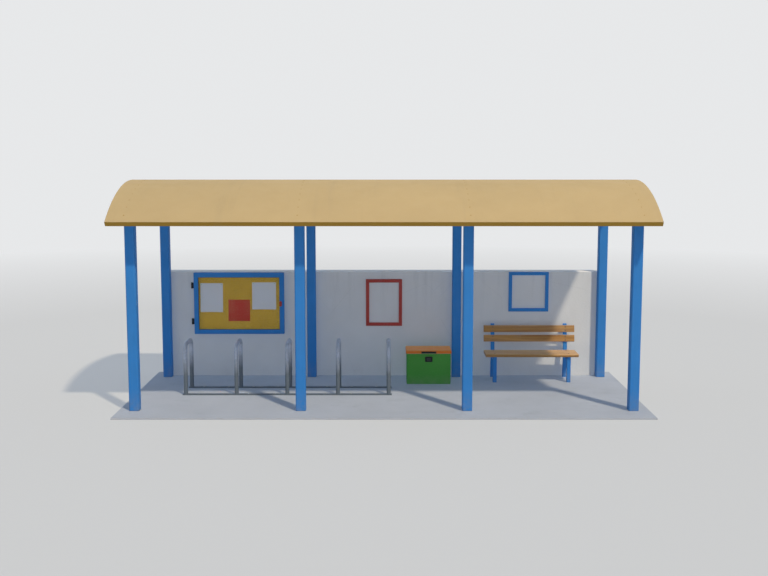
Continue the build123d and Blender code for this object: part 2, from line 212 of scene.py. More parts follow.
def result(kind, inputs=None, **settings):
    """Add a node and give its first output."""
    return add_node(kind, inputs, **settings).outputs[0]


def maths(operation, first, second=0.0, clamp=False):
    return result("ShaderNodeMath", {0: first, 1: second}, operation=operation, use_clamp=clamp)


def times(first, second):
    return maths("MULTIPLY", first, second)


def span(value, low, high, to_low=0.0, to_high=1.0):
    """Straight map of low..high to to_low..to_high, clamped at both ends."""
    inputs = {"Value": value, "From Min": low, "From Max": high, "To Min": to_low, "To Max": to_high}
    return result("ShaderNodeMapRange", inputs)


def blended(share, first, second, way="MIX"):
    """Colour mix: share 0 gives the first colour, 1 the second."""
    node = add_node("ShaderNodeMix", {0: share, 6: first, 7: second}, data_type="RGBA", blend_type=way)
    return node.outputs[2]


def laid(colour, mask, share, top):
    """Colour with a top one over it where the mask is 1, as strong as the share says."""
    return blended(times(mask, share), colour, top)


def object_place():
    return add_node("ShaderNodeTexCoord").outputs["Object"]


def place(stretch=(1.0, 1.0, 1.0), shift=(0.0, 0.0, 0.0), turn=(0.0, 0.0, 0.0)):
    """Object coordinates, stretched, turned and shifted."""
    inputs = {"Vector": object_place(), "Location": shift, "Rotation": turn, "Scale": stretch}
    return result("ShaderNodeMapping", inputs)


def noise(where, scale, detail=3.0, rough=0.5, bend=0.0):
    inputs = {"Vector": where, "Scale": scale, "Detail": detail, "Roughness": rough, "Distortion": bend}
    return result("ShaderNodeTexNoise", inputs)


def wander(where, scale, detail, low, high, rough=0.5):
    """Noise stretched so that it wanders between low and high."""
    return span(noise(where, scale, detail, rough), *noise_span, low, high)


def cells(where, scale, feature="F1", output="Distance"):
    node = add_node("ShaderNodeTexVoronoi", {"Vector": where, "Scale": scale}, feature=feature)
    return node.outputs[output]


def axes_of(vector):
    return add_node("ShaderNodeSeparateXYZ", {0: vector}).outputs


def height():
    """Height above the underside of the slab."""
    return axes_of(object_place())["Z"]


def shaded(colour, value):
    """Colour made lighter or darker by a value near 1."""
    grey = result("ShaderNodeCombineColor", {0: value, 1: value, 2: value})
    return blended(1.0, colour, grey, "MULTIPLY")


def facing_up():
    """1 on faces that look up when the piece is at rest."""
    way = add_node("ShaderNodeTexCoord").outputs["Normal"]
    return span(axes_of(way)["Z"], 0.5, 0.9)


def relief(value, depth, under=None):
    """Bump of a given depth in metres, on top of another normal if there is one."""
    inputs = {"Height": value, "Distance": depth}
    if under is not None:
        inputs["Normal"] = under
    return result("ShaderNodeBump", inputs)


def soft_edges(radius):
    """Normal that rounds the edges, and a mask that is 1 along them."""
    rounded = result("ShaderNodeBevel", {"Radius": radius}, samples=6)
    true = add_node("ShaderNodeNewGeometry").outputs["True Normal"]
    inputs = {0: rounded, 1: true}
    along = add_node("ShaderNodeVectorMath", inputs, operation="DOT_PRODUCT").outputs["Value"]
    return rounded, span(along, *edge_cosines)


def finish_of(material, colour, roughness, normal=None, **plain):
    """Fill the new material's Principled shader. The plain values go straight on its sockets."""
    shader = tree.nodes["Principled BSDF"]
    for key, value in (("Base Color", colour), ("Roughness", roughness), ("Normal", normal)):
        if isinstance(value, bpy.types.NodeSocket):
            tree.links.new(value, shader.inputs[key])
        elif value is not None:
            shader.inputs[key].default_value = value
    for key, value in plain.items():
        shader.inputs[key.replace("_", " ")].default_value = value
    return material


def new_finish(name):
    material = bpy.data.materials.new(name)
    material.use_nodes = True
    begin(material.node_tree)
    return material


# Finishes


def painted_steel(name, paint, wear=1.0, foot=0.0, mitre=None):
    """Satin powder coat: orange peel, chalky streaks, chipped edges, dust round the feet."""
    material = new_finish(name)
    where = place()
    colour = shaded(paint, wander(where, 2.4, 4, 0.93, 1.05))
    streaks = noise(place((26, 26, 1.1)), 1.0, 5, 0.6)
    colour = blended(span(streaks, 0.52, 0.80, 0.0, 0.05), colour, tint(150, 186, 214))
    rounded, edge = soft_edges(0.004)
    chips = span(noise(where, 55, 5, 0.7), 0.50, 0.62)
    worn = times(times(edge, chips), 0.75 * wear)
    colour = blended(worn, colour, bare_steel)
    rough = wander(where, 9, 4, 0.62, 0.74)
    if foot:
        splash = span(noise(where, 16, 5, 0.65), 0.35, 0.65)
        splash = times(span(height(), 0.02, foot, 1.0, 0.0), splash)
        colour = laid(colour, splash, 0.36, pale_dust)
        rough = maths("ADD", rough, times(splash, 0.3))
    if mitre is not None:
        joint = mitre_joint(*mitre)
        colour = laid(colour, joint, 0.7, near_black)
    rough = maths("ADD", rough, times(worn, 0.25), True)
    peel = relief(noise(where, 420, 2), 0.00022, rounded)
    if mitre is not None:
        peel = relief(maths("SUBTRACT", 1.0, joint), 0.0012, peel)
    return finish_of(material, colour, rough, peel, Specular_IOR_Level=0.62)


def mitre_joint(centre, half_width, half_height, bar):
    """Mask of the four hairline joints at the corners of a rectangular frame."""
    where = axes_of(object_place())
    across = maths("ABSOLUTE", maths("SUBTRACT", where["X"], centre[0]))
    up = maths("ABSOLUTE", maths("SUBTRACT", where["Z"], centre[2]))
    from_side = maths("SUBTRACT", half_width, across)
    from_top = maths("SUBTRACT", half_height, up)
    apart = maths("ABSOLUTE", maths("SUBTRACT", from_side, from_top))
    line = span(apart, 0.0004, 0.0011, 1.0, 0.0)
    return times(line, maths("LESS_THAN", from_side, bar))


def roof_coating(name, base):
    """Weathered roof membrane: fine grain, pale specks and run-off streaks down the slope."""
    material = new_finish(name)
    where = place()
    colour = shaded(base, wander(where, 1.3, 5, 0.955, 1.03, 0.55))
    run_off = noise(place((9, 0.55, 0.55)), 1.0, 6, 0.62)
    colour = blended(span(run_off, 0.54, 0.82, 0.0, 0.22), colour, tint(158, 140, 108))
    specks = span(noise(where, 160, 2), 0.62, 0.74, 0.0, 0.18)
    colour = blended(specks, colour, tint(226, 206, 160))
    rounded, edge = soft_edges(0.006)
    colour = laid(colour, edge, 0.16, tint(214, 190, 142))
    rough = wander(where, 7, 4, 0.70, 0.86)
    grain = relief(noise(where, 380, 3, 0.6), 0.0006, rounded)
    return finish_of(material, colour, rough, grain, Specular_IOR_Level=0.25)


def slab_concrete():
    """Broomed concrete: mottling, fine sand, damp patches and the broom's lines."""
    material = new_finish("slab_concrete")
    where = place()
    colour = shaded(slab_grey, wander(where, 1.1, 6, 0.93, 1.05, 0.6))
    sand = noise(where, 240, 2, 0.7)
    colour = shaded(colour, span(sand, *noise_span, 0.92, 1.07))
    stains = noise(place(shift=(3.1, 1.7, 0.0)), 2.6, 7, 0.68)
    colour = blended(span(stains, 0.57, 0.72, 0.0, 0.25), colour, tint(126, 128, 128))
    pores = span(cells(where, 70), 0.05, 0.11, 1.0, 0.0)
    pores = times(pores, span(noise(where, 12), 0.5, 0.6))
    colour = laid(colour, pores, 0.5, tint(92, 94, 96))
    rounded, edge = soft_edges(0.004)
    colour = laid(colour, edge, 0.25, tint(190, 192, 192))
    broom = noise(place((3.0, 210, 1.0)), 1.0, 3, 0.6, 0.15)
    normal = relief(broom, 0.0016, rounded)
    normal = relief(sand, 0.0008, normal)
    normal = relief(maths("SUBTRACT", 1.0, pores), 0.0014, normal)
    rough = wander(where, 5, 4, 0.80, 0.92)
    return finish_of(material, colour, rough, normal)


def floated_render():
    """Wall render rubbed with a float: soft swirls, rain marks under the top, splash at the foot."""
    material = new_finish("floated_render")
    where = place()
    colour = shaded(wall_grey, wander(where, 1.6, 5, 0.955, 1.03, 0.55))
    up = height()
    rain = span(noise(place((11, 11, 0.7)), 1.0, 6, 0.65), 0.52, 0.72)
    rain = times(rain, span(up, 0.75, 1.44, 0.0, 0.20))
    colour = blended(rain, colour, tint(138, 138, 134))
    splash = span(noise(where, 9, 6, 0.7), 0.35, 0.65)
    splash = times(span(up, 0.02, 0.30, 1.0, 0.0), splash)
    colour = laid(colour, splash, 0.10, tint(160, 155, 146))
    cracks = cells(place((1.4, 1.4, 0.9)), 1.0, "DISTANCE_TO_EDGE")
    cracks = span(cracks, 0.0, 0.0016, 1.0, 0.0)
    cracks = times(cracks, span(noise(where, 2.2, 2), 0.52, 0.60, 0.0, 0.28))
    colour = blended(cracks, colour, tint(104, 104, 104))
    # Painted highlight: edges are laid paler, and faces that look up are painted paler as if lit from above
    rounded, edge = soft_edges(0.006)
    colour = laid(colour, edge, 0.5, tint(232, 232, 230))
    level = facing_up()
    colour = blended(level, colour, tint(234, 225, 215))
    swirl = noise(where, 26, 6, 0.6, 1.2)
    floated = times(swirl, maths("SUBTRACT", 1.0, level))
    normal = relief(floated, 0.0022, rounded)
    normal = relief(noise(where, 330, 2, 0.7), 0.0006, normal)
    rough = span(swirl, *noise_span, 0.82, 0.93)
    return finish_of(material, colour, rough, normal)


def galvanised_tube():
    """Hot-dip galvanised steel: crystal spangle, dull patches, scuffs higher up, and darker lower down as a
    painted reflection of the ground.
    """
    material = new_finish("galvanised_tube")
    where = place()
    spangle = cells(place((1, 1, 0.8)), 85, output="Color")
    spangle = result("ShaderNodeSeparateColor", {0: spangle})
    colour = shaded(tube_grey, span(spangle, 0.0, 1.0, 0.84, 1.06))
    dull = span(noise(where, 7, 6, 0.65), 0.42, 0.66)
    colour = laid(colour, dull, 0.45, tint(142, 146, 150))
    scuffs = span(noise(place((30, 30, 120)), 1.0, 4, 0.7), 0.60, 0.70)
    scuffs = times(scuffs, span(height(), 0.25, 0.55))
    colour = laid(colour, scuffs, 0.4, tint(96, 98, 100))
    # Painted reflection: the tubes are darkened lower down as if they mirrored the dark ground
    low_dark_reflection = span(height(), 0.29, 0.52, 0.94, 0.0)
    colour = blended(low_dark_reflection, colour, tint(90, 99, 105))
    rough = maths("ADD", span(dull, 0.0, 1.0, 0.36, 0.52), times(spangle, 0.08))
    normal = relief(noise(where, 150, 3), 0.00035)
    normal = relief(spangle, 0.00012, normal)
    return finish_of(material, colour, rough, normal, Metallic=0.25)


def oiled_timber():
    """Oiled hardwood boards, grain along X, with pores, growth bands and a little greying."""
    material = new_finish("oiled_timber")
    bands = noise(place((0.5, 12, 12)), 2.2, 5, 0.55, 0.8)
    wide = noise(place((0.8, 5, 5), (0.4, 0.1, 0.7)), 1.0, 2)
    colour = blended(span(bands, 0.30, 0.68), board_light, board_dark)
    colour = blended(span(wide, 0.35, 0.7, 0.0, 0.35), colour, tint(206, 170, 128))
    fibres = noise(place((6, 260, 260)), 1.0, 4, 0.6)
    colour = shaded(colour, span(fibres, *noise_span, 0.84, 1.10))
    pores = span(noise(place((9, 520, 520)), 1.0, 2), 0.66, 0.74)
    colour = laid(colour, pores, 0.5, tint(92, 60, 34))
    greying = span(noise(place(), 4.0, 6, 0.7), 0.56, 0.74, 0.0, 0.28)
    colour = blended(greying, colour, tint(168, 156, 138))
    # Top faces laid paler: partly wear, partly painted light from above
    colour = laid(colour, facing_up(), 0.55, board_top_wear_and_light)
    rounded, edge = soft_edges(0.004)
    colour = laid(colour, edge, 0.22, tint(210, 178, 136))
    normal = relief(fibres, 0.0007, rounded)
    normal = relief(maths("SUBTRACT", 1.0, pores), 0.0006, normal)
    rough = span(bands, *noise_span, 0.46, 0.60)
    return finish_of(material, colour, rough, normal)


def cork_board():
    """Pressed cork granules with a few old pin holes."""
    material = new_finish("cork_board")
    where = place()
    grains = result("ShaderNodeSeparateColor", {0: cells(where, 190, output="Color")})
    colour = blended(span(grains, 0.25, 1.0), cork_tan, cork_dark)
    colour = shaded(colour, wander(where, 6, 5, 0.93, 1.06))
    gaps = cells(where, 190, "DISTANCE_TO_EDGE")
    colour = blended(span(gaps, 0.0, 0.05, 0.5, 0.0), colour, tint(84, 58, 28))
    holes = span(cells(place(shift=(0.3, 0.0, 0.8)), 34), 0.02, 0.035, 1.0, 0.0)
    colour = laid(colour, holes, 0.8, tint(52, 36, 20))
    normal = relief(span(gaps, 0.0, 0.12), 0.0009)
    return finish_of(material, colour, 0.86, normal)


def pinned_paper(name, base):
    """Plain sheet of paper: fibres and slight yellowing."""
    material = new_finish(name)
    where = place()
    fibres = noise(where, 900, 3, 0.7)
    colour = shaded(base, span(fibres, *noise_span, 0.97, 1.03))
    yellowing = span(noise(where, 5, 4), 0.45, 0.75, 0.0, 0.16)
    colour = blended(yellowing, colour, blended(0.5, base, tint(196, 178, 132)))
    normal = relief(noise(where, 38, 4), 0.0007)
    normal = relief(fibres, 0.0001, normal)
    return finish_of(material, colour, span(fibres, *noise_span, 0.72, 0.82), normal)


def moulded_plastic(name, base, bleached_and_lit_top):
    """Moulded plastic: leathered grain, paler top (sun bleaching and painted light), pale scuffs on edges,
    dust at the foot.
    """
    material = new_finish(name)
    where = place()
    colour = shaded(base, wander(where, 3.4, 5, 0.93, 1.05))
    # Top faces laid paler: sun bleaching and painted light from above
    colour = laid(colour, facing_up(), 0.7, bleached_and_lit_top)
    rounded, edge = soft_edges(0.006)
    scratches = noise(place((24, 24, 150), turn=(0.2, 0.3, 0.0)), 1.0, 5, 0.75)
    colour = laid(colour, span(scratches, 0.62, 0.70), 0.18, tint(206, 208, 200))
    rub = times(edge, span(noise(where, 46, 4, 0.7), 0.42, 0.6))
    colour = laid(colour, rub, 0.42, tint(206, 206, 190))
    dust = times(span(height(), 0.02, 0.16, 0.4, 0.0), noise(where, 14, 5))
    colour = blended(dust, colour, pale_dust)
    normal = relief(cells(where, 620, "SMOOTH_F1"), 0.00035, rounded)
    rough = wander(where, 10, 5, 0.42, 0.56)
    return finish_of(material, colour, rough, normal)


def black_steel():
    """Black oxide steel fittings with rubbed edges."""
    material = new_finish("black_fittings")
    where = place()
    rounded, edge = soft_edges(0.0015)
    colour = shaded(near_black, wander(where, 40, 4, 0.8, 1.3))
    rub = times(edge, span(noise(where, 150, 4), 0.42, 0.6, 0.0, 0.7))
    colour = blended(rub, colour, bare_steel)
    normal = relief(noise(where, 600, 2), 0.0001, rounded)
    rough = wander(where, 30, 4, 0.36, 0.52)
    return finish_of(material, colour, rough, normal, Metallic=0.5)


def plated_steel(name, base, metal=0.9):
    """Plated bolts and screws with a little rust."""
    material = new_finish(name)
    where = place()
    colour = shaded(base, wander(where, 60, 4, 0.85, 1.1))
    rust = span(noise(where, 25, 6, 0.7), 0.62, 0.72, 0.0, 0.35)
    colour = blended(rust, colour, tint(122, 84, 56))
    normal = relief(noise(where, 500, 2), 0.0001)
    return finish_of(material, colour, span(rust, 0.0, 0.35, 0.36, 0.6), normal, Metallic=metal)


def plain_grained(name, base, roughness, grain_scale, depth):
    """One colour with mottling and a fine grain, for seals, mortar and pin heads."""
    material = new_finish(name)
    where = place()
    grain = noise(where, grain_scale, 4, 0.6)
    colour = shaded(base, span(grain, *noise_span, 0.86, 1.1))
    return finish_of(material, colour, roughness, relief(grain, depth))


def pane_glass():
    """Clear glass with a few wiped smears."""
    material = new_finish("pane_glass")
    smears = noise(place((2.2, 2.2, 5.0), turn=(0.0, 0.5, 0.0)), 1.0, 6, 0.7, 0.6)
    rough = span(smears, 0.50, 0.75, 0.0, 0.07)
    return finish_of(material, tint(250, 251, 252), rough, Transmission_Weight=1.0, IOR=1.15)


def box_middle(node):
    low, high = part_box(node)
    return (low + high) / 2


def frame_joints(node, bar):
    """What mitre_joint needs to know about a rectangular frame node."""
    low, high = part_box(node)
    return box_middle(node), (high.x - low.x) / 2, (high.z - low.z) / 2, bar


door_joints = frame_joints("case_door_frame", door_bar)
red_joints = frame_joints("red_poster_frame", frame_bar)
blue_joints = frame_joints("blue_poster_frame", frame_bar)
blue_posts = painted_steel("blue_posts", paint_blue, 1.0, 0.30)
blue_roof_frame = painted_steel("blue_roof_frame", paint_blue, 0.6)
blue_bench_frame = painted_steel("blue_bench_frame", paint_blue, 1.0, 0.20)
blue_case = painted_steel("blue_case", paint_blue, 0.8)
blue_case_door = painted_steel("blue_case_door", paint_blue, 0.9, mitre=door_joints)
red_frame_paint = painted_steel("red_frame_paint", paint_red, 0.8, mitre=red_joints)
blue_frame_paint = painted_steel("blue_frame_paint", paint_blue, 0.8, mitre=blue_joints)
red_knob = painted_steel("red_knob", paint_red, 0.5)
roof_skin = roof_coating("roof_skin", roof_ochre)
# Copy of the roof finish in the darker ochre, for the rim faces: painted shade
roof_rim_painted_shade = roof_coating("roof_rim_painted_shade", rim_shade_ochre)
concrete = slab_concrete()
render_coat = floated_render()
tube_steel = galvanised_tube()
timber = oiled_timber()
cork = cork_board()
white_paper = pinned_paper("white_paper", paper_greyed_for_shade)
red_paper = pinned_paper("red_paper", sheet_red)
green_plastic = moulded_plastic("green_plastic", chest_green, tint(104, 152, 92))
orange_plastic = moulded_plastic("orange_plastic", lid_orange, tint(240, 158, 82))
fittings_black = black_steel()
bolt_zinc = plated_steel("bolt_zinc", zinc_grey)
bolt_dull = plated_steel("bolt_dull", tint(122, 106, 88), 0.6)
screw_ochre = plated_steel("screw_ochre", rim_shade_ochre, 0.0)
rubber_seal = plain_grained("rubber_seal", seal_black, 0.6, 300, 0.0002)
seal_pale = plain_grained("seal_pale", tint(176, 184, 172), 0.7, 260, 0.0002)
catch_grey = plain_grained("catch_grey", tint(46, 50, 52), 0.5, 260, 0.0002)
mortar = plain_grained("mortar", mortar_grey_and_foot_shade, 0.9, 180, 0.0012)
pin_red = plain_grained("pin_red", tint(206, 88, 40), 0.25, 200, 0.00003)
pin_green = plain_grained("pin_green", tint(60, 140, 80), 0.25, 200, 0.00003)
glass = pane_glass()

# Each finish, and words in the names of the nodes that wear it
worn_by = (
    (concrete, "base_slab"),
    (render_coat, "back_wall"),
    (blue_posts, "_post_"),
    (blue_roof_frame, "roof_rib_ roof_purlins _eave_beam"),
    (blue_case, "notice_case"),
    (cork, "pin_board"),
    (blue_case_door, "case_door_frame"),
    (glass, "case_door_glass"),
    (red_frame_paint, "red_poster_frame"),
    (blue_frame_paint, "blue_poster_frame"),
    (tube_steel, "floor_rails"),
    (blue_bench_frame, "bench_left_frame bench_right_frame"),
    (timber, "bench_seat_board bench_back_slats"),
    (green_plastic, "chest_body"),
    (orange_plastic, "chest_lid"),
    (fittings_black, "chest_handle chest_latch chest_hinge case_hinge"),
)
for finish, words in worn_by:
    for name, node in cad.items():
        if any(word in name for word in words.split()):
            node.data.materials.clear()
            node.data.materials.append(finish)
cad["case_door_glass"].visible_shadow = False


# Geometry Nodes helpers


def new_tree(name, sizes):
    """Begin a geometry tree whose inputs are the base mesh, the named sizes and the finish."""
    begin(bpy.data.node_groups.new(name, "GeometryNodeTree"))
    tree.interface.new_socket("Geometry", in_out="INPUT", socket_type="NodeSocketGeometry")
    for label, value in sizes.items():
        kind = "NodeSocketInt" if isinstance(value, int) else "NodeSocketFloat"
        tree.interface.new_socket(label, in_out="INPUT", socket_type=kind).default_value = value
    tree.interface.new_socket("Finish", in_out="INPUT", socket_type="NodeSocketMaterial")
    tree.interface.new_socket("Geometry", in_out="OUTPUT", socket_type="NodeSocketGeometry")
    return tree.nodes.new("NodeGroupInput").outputs


def close_tree(given, geometry):
    """End the tree in Realize Instances and Set Material."""
    real = result("GeometryNodeRealizeInstances", {0: geometry})
    done = result("GeometryNodeSetMaterial", {"Geometry": real, "Material": given["Finish"]})
    add_node("NodeGroupOutput", {0: done})
    return tree


def vector_of(x=0.0, z=0.0):
    return result("ShaderNodeCombineXYZ", {0: x, 2: z})


def rectangle(width, depth):
    return result("GeometryNodeCurvePrimitiveQuadrilateral", {"Width": width, "Height": depth})


def circle(sides, radius):
    return result("GeometryNodeCurvePrimitiveCircle", {"Resolution": sides, "Radius": radius})


def filleted(curve, radius, count):
    inputs = {"Curve": curve, "Radius": radius, "Count": count}
    return result("GeometryNodeFilletCurve", inputs, mode="POLY")


def swept(path, profile, caps=False):
    return result("GeometryNodeCurveToMesh", {"Curve": path, "Profile Curve": profile, "Fill Caps": caps})


def raised(part, level):
    return result("GeometryNodeTransform", {0: part.outputs[0], "Translation": vector_of(z=level)})


def aimed():
    """Rotation that brings Z to the way that a point faces."""
    facing = result("GeometryNodeInputNamedAttribute", {"Name": "facing"}, data_type="FLOAT_VECTOR")
    return result("FunctionNodeAlignRotationToVector", {"Vector": facing}, axis="Z")


def on_points(points, shape, rotation=None):
    """The shape set on every point, turned by a rotation if there is one."""
    inputs = {"Points": points, "Instance": shape}
    if rotation is not None:
        inputs["Rotation"] = rotation
    return result("GeometryNodeInstanceOnPoints", inputs)


def new_mesh(name, points, edges=(), faces=()):
    mesh = bpy.data.meshes.new(name)
    mesh.from_pydata(points, edges, faces)
    return mesh


def new_object(name, data):
    """Object that is linked to the scene."""
    thing = bpy.data.objects.new(name, data)
    bpy.context.scene.collection.objects.link(thing)
    return thing


def spot(x, y, z, way):
    """A place for a small piece, and the way it faces."""
    return Vector((x, y, z)), way


def spots_mesh(spots):
    """Mesh of loose points: each spot is a place and the way it faces."""
    mesh = new_mesh("spots", [where for where, _ in spots])
    facing = mesh.attributes.new("facing", "FLOAT_VECTOR", "POINT")
    for number, (_, way) in enumerate(spots):
        facing.data[number].vector = way
    return mesh


def grown(name, base, grower, sizes, finish, body, smooth=None):
    """Run a geometry tree on a base mesh and keep the result as a plain mesh that rides on a body."""
    seed_object = new_object("growing", base)
    modifier = seed_object.modifiers.new("grow", "NODES")
    modifier.node_group = grower
    for item in grower.interface.items_tree:
        if item.in_out == "INPUT" and item.name in sizes:
            modifier[item.identifier] = sizes[item.name]
        if item.in_out == "INPUT" and item.name == "Finish":
            modifier[item.identifier] = finish
    graph = bpy.context.evaluated_depsgraph_get()
    mesh = bpy.data.meshes.new_from_object(seed_object.evaluated_get(graph), depsgraph=graph)
    seed_object.modifiers.remove(modifier)
    bpy.data.objects.remove(seed_object)
    return settle(name, mesh, finish, body, smooth)


def settle(name, mesh, finish, body, smooth=None):
    """Make a finished mesh a named piece on its body."""
    if not mesh.materials:
        mesh.materials.append(finish)
    if smooth is not None:
        mesh.shade_smooth()
        mesh.set_sharp_from_angle(angle=radians(smooth))
    piece = new_object(name, mesh)
    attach(piece, body)
    return piece


# Geometry Nodes trees


def fastener_tree():
    """Bolt, screw or pin heads on points, each on a washer and turned at random about its axis."""
    sizes = {
        "Head Radius": 0.006, "Head Height": 0.004, "Head Sides": 6, "Crown Height": 0.001,
        "Washer Radius": 0.009, "Washer Height": 0.0015, "Seed": 1}
    given = new_tree("fasteners", sizes)
    head = add_node("GeometryNodeMeshCylinder", {
        "Vertices": given["Head Sides"], "Radius": given["Head Radius"], "Depth": given["Head Height"]})
    crown = add_node("GeometryNodeMeshCone", {
        "Vertices": crown_sides,
        "Radius Bottom": times(given["Head Radius"], crown_foot),
        "Radius Top": times(given["Head Radius"], crown_top),
        "Depth": given["Crown Height"]})
    washer = add_node("GeometryNodeMeshCylinder", {
        "Vertices": washer_sides, "Radius": given["Washer Radius"], "Depth": given["Washer Height"]})
    head_middle = maths("ADD", given["Washer Height"], times(given["Head Height"], 0.5))
    head_top = maths("ADD", given["Washer Height"], given["Head Height"])
    washer_middle = times(given["Washer Height"], 0.5)
    whole = add_node("GeometryNodeJoinGeometry")
    for part, level in ((head, head_middle), (crown, head_top), (washer, washer_middle)):
        tree.links.new(raised(part, level), whole.inputs[0])
    inputs = {2: 0.0, 3: 2 * pi, "Seed": given["Seed"]}
    spin = add_node("FunctionNodeRandomValue", inputs, data_type="FLOAT").outputs[1]
    about = result("FunctionNodeAxisAngleToRotation", {"Axis": (0, 0, 1), "Angle": spin})
    inputs = {"Rotation": aimed(), "Rotate By": about}
    turned = result("FunctionNodeRotateRotation", inputs, rotation_space="LOCAL")
    set_out = on_points(given["Geometry"], whole.outputs[0], turned)
    return close_tree(given, set_out)


def bead_tree():
    """Round bead laid along a rectangle with rounded corners, on points: welds, mortar and seals."""
    sizes = {
        "Width": 0.12, "Depth": 0.12, "Corner Radius": 0.01, "Corner Steps": 4, "Step": 0.006,
        "Bead Radius": 0.003, "Unevenness": 0.0, "Ripple Scale": 60.0}
    given = new_tree("beads", sizes)
    path = rectangle(given["Width"], given["Depth"])
    path = filleted(path, given["Corner Radius"], given["Corner Steps"])
    path = result("GeometryNodeResampleCurve", {"Curve": path, "Length": given["Step"]}, mode="LENGTH")
    bead = swept(path, circle(bead_sides, given["Bead Radius"]))
    set_out = on_points(given["Geometry"], bead, aimed())
    real = result("GeometryNodeRealizeInstances", {0: set_out})
    ripple = result("ShaderNodeTexNoise", {"Scale": given["Ripple Scale"]})
    amount = times(maths("SUBTRACT", ripple, 0.5), given["Unevenness"])
    inputs = {0: result("GeometryNodeInputNormal"), 3: amount}
    shift = result("ShaderNodeVectorMath", inputs, operation="SCALE")
    moved = result("GeometryNodeSetPosition", {"Geometry": real, "Offset": shift})
    return close_tree(given, moved)


def tube_row_tree():
    """Tube bent along the base line, its corners rounded, repeated in a row along X."""
    sizes = {
        "Bend Radius": 0.08, "Bend Steps": 14, "Tube Radius": 0.025, "Tube Sides": 32, "Pitch": 0.6,
        "Count": hoop_count}
    given = new_tree("bent_tubes", sizes)
    line = result("GeometryNodeMeshToCurve", {0: given["Geometry"]})
    line = filleted(line, given["Bend Radius"], given["Bend Steps"])
    tube = swept(line, circle(given["Tube Sides"], given["Tube Radius"]), True)
    row = result("GeometryNodeMeshLine", {"Count": given["Count"], "Offset": vector_of(x=given["Pitch"])})
    return close_tree(given, on_points(row, tube))


def vault_tree():
    """Curved sheet: a rounded rectangle swept along the roof's arc, which lies in the YZ plane."""
    sizes = {
        "Arc Radius": 2.3, "Half Angle": 0.6, "Arc Steps": 96, "Length": 6.4, "Thickness": 0.06,
        "Edge Radius": 0.004, "Centre Height": 0.0}
    given = new_tree("vault", sizes)
    arc = result("GeometryNodeCurveArc", {
        "Resolution": given["Arc Steps"],
        "Radius": given["Arc Radius"],
        "Start Angle": maths("SUBTRACT", pi / 2, given["Half Angle"]),
        "Sweep Angle": times(given["Half Angle"], 2.0)})
    arc = result("GeometryNodeTransform", {
        0: arc,
        "Rotation": (pi / 2, 0.0, pi / 2),
        "Translation": vector_of(z=given["Centre Height"])})
    arc = result("GeometryNodeSetCurveNormal", {"Curve": arc}, mode="Z_UP")
    profile = rectangle(given["Length"], given["Thickness"])
    profile = filleted(profile, given["Edge Radius"], edge_steps)
    return close_tree(given, swept(arc, profile, True))


fasteners = fastener_tree()
beads = bead_tree()
bent_tubes = tube_row_tree()
vault = vault_tree()

out_front = Vector((0, -1, 0))
upward = Vector((0, 0, 1))
no_base = bpy.data.meshes.new("nothing")


def fixings(name, spots, head, washer, finish, sides=6, seed=1):
    """Fasteners on spots. A head has radius, height and crown height, a washer radius and height."""
    sizes = dict(zip(("Head Radius", "Head Height", "Crown Height"), head))
    sizes.update(zip(("Washer Radius", "Washer Height"), washer))
    sizes.update({"Head Sides": sides, "Seed": seed})
    grown(name, spots_mesh(spots), fasteners, sizes, finish, "shelter")


def bead_rows(name, spots, wide, deep, radius, finish, slot, body="shelter", **more):
    """Beads round rectangles on spots, with sizes of the tree such as Corner_Radius by name."""
    sizes = {"Width": wide, "Depth": deep, "Bead Radius": radius}
    sizes.update({label.replace("_", " "): value for label, value in more.items()})
    grown(name, spots_mesh(spots), beads, sizes, finish, body, 60)


# Roof

roof_low, roof_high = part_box("roof_sheet")
half_chord = (roof_high.y - roof_low.y) / 2
roof_radius = (half_chord**2 + roof_rise**2) / (2 * roof_rise)
roof_centre = roof_high.z - roof_radius
vault_sizes = {
    "Arc Radius": roof_radius - roof_thickness / 2,
    "Half Angle": asin(half_chord / roof_radius),
    "Length": roof_high.x - roof_low.x,
    "Thickness": roof_thickness,
    "Centre Height": roof_centre,
}
roof_shell = grown("roof_shell", no_base, vault, vault_sizes, roof_skin, "shelter", 30)
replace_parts(roof_shell, "roof_sheet")
# Faces that don't face out from the arc (eave and end faces) wear the darker copy: painted shade
roof_shell.data.materials.append(roof_rim_painted_shade)
for face in roof_shell.data.polygons:
    outwards = Vector((0, face.center.y, face.center.z - roof_centre)).normalized()
    if abs(face.normal.dot(outwards)) < rim_cosine:
        face.material_index = 1

# Bike hoops

first_low, first_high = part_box("bike_hoop_1")
last_low, last_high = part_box(f"bike_hoop_{hoop_count}")
hoop_x = (first_low.x + first_high.x) / 2
hoop_pitch = ((last_low.x + last_high.x) / 2 - hoop_x) / (hoop_count - 1)
leg_front = first_low.y + hoop_radius
leg_rear = first_high.y - hoop_radius
leg_foot = first_low.z
hoop_crown = first_high.z - hoop_radius
hoop_corners = (
    (hoop_x, leg_front, leg_foot),
    (hoop_x, leg_front, hoop_crown),
    (hoop_x, leg_rear, hoop_crown),
    (hoop_x, leg_rear, leg_foot),
)
hoop_line = new_mesh("hoop_line", hoop_corners, ((0, 1), (1, 2), (2, 3)))
tube_sizes = {"Bend Radius": hoop_bend_radius, "Tube Radius": hoop_radius, "Pitch": hoop_pitch}
hoop_tubes = grown("hoop_tubes", hoop_line, bent_tubes, tube_sizes, tube_steel, "shelter", 40)
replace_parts(hoop_tubes, *[f"bike_hoop_{number}" for number in range(1, hoop_count + 1)])

